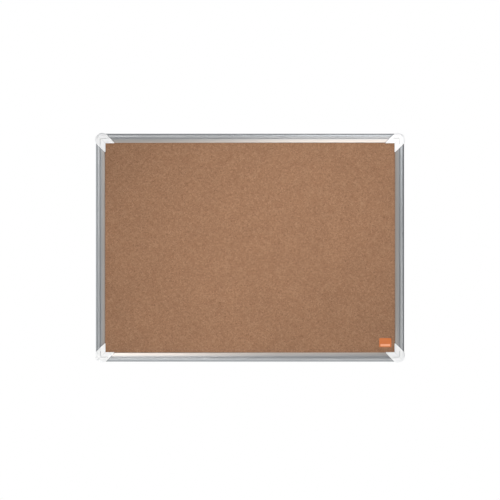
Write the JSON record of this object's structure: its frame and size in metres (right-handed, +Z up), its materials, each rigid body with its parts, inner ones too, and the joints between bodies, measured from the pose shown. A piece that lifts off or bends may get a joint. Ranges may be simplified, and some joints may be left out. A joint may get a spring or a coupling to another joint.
{
  "type": "cork bulletin board",
  "caption": "Framed cork notice board with a laminated panel, extruded rails, moulded corner caps and two keyhole hangers that slide in the top rail.",
  "frame": {"origin": "centre of the board on the wall plane, which its four rear bumpers touch", "axes": "+Z up, +X to the right as seen from the front, -Y out of the wall towards the reader, so the cork faces -Y"},
  "size_m": [0.6032, 0.018, 0.4472],
  "materials": {
    "anodised_frame": "satin anodised extrusion, drawn along its length",
    "cap_plastic": "fine matt moulded, near white",
    "bracket_plastic": "moulded, dark grey",
    "cork": "pressed cork granules, lightly sanded",
    "softboard": "wood fibre board, raw",
    "liner_paper": "plain kraft paper, matt",
    "label_print": "satin printed sticker, plain orange with a pale stripe",
    "zinc_steel": "zinc plated, pressed",
    "bumper_rubber": "soft, matt"
  },
  "bodies": {
    "board": {"top_rail": "anodised_frame", "bottom_rail": "anodised_frame", "left_rail": "anodised_frame", "right_rail": "anodised_frame", "corner_cap_bottom_left": "cap_plastic", "corner_bracket_bottom_left": "bracket_plastic", "wall_bumper_bottom_left": "bumper_rubber", "corner_cap_top_left": "cap_plastic", "corner_bracket_top_left": "bracket_plastic", "wall_bumper_top_left": "bumper_rubber", "corner_cap_top_right": "cap_plastic", "corner_bracket_top_right": "bracket_plastic", "wall_bumper_top_right": "bumper_rubber", "corner_cap_bottom_right": "cap_plastic", "corner_bracket_bottom_right": "bracket_plastic", "wall_bumper_bottom_right": "bumper_rubber", "rail_screws": "zinc_steel", "cap_screws": "zinc_steel", "rear_liner": "liner_paper", "core_board": "softboard", "cork_sheet": "cork", "label": "label_print"},
    "hanger_left": {"hanger_plate_left": "zinc_steel", "hanger_nut_left": "zinc_steel", "hanger_screw_left": "zinc_steel"},
    "hanger_right": {"hanger_plate_right": "zinc_steel", "hanger_nut_right": "zinc_steel", "hanger_screw_right": "zinc_steel"}
  },
  "joints": [
    {"name": "hanger_left_slide", "type": "slide", "parent": "board", "child": "hanger_left", "axis": [1, 0, 0], "range_m": [-0.0508, 0.176]},
    {"name": "hanger_right_slide", "type": "slide", "parent": "board", "child": "hanger_right", "axis": [-1, 0, 0], "range_m": [-0.0508, 0.176]}
  ]
}
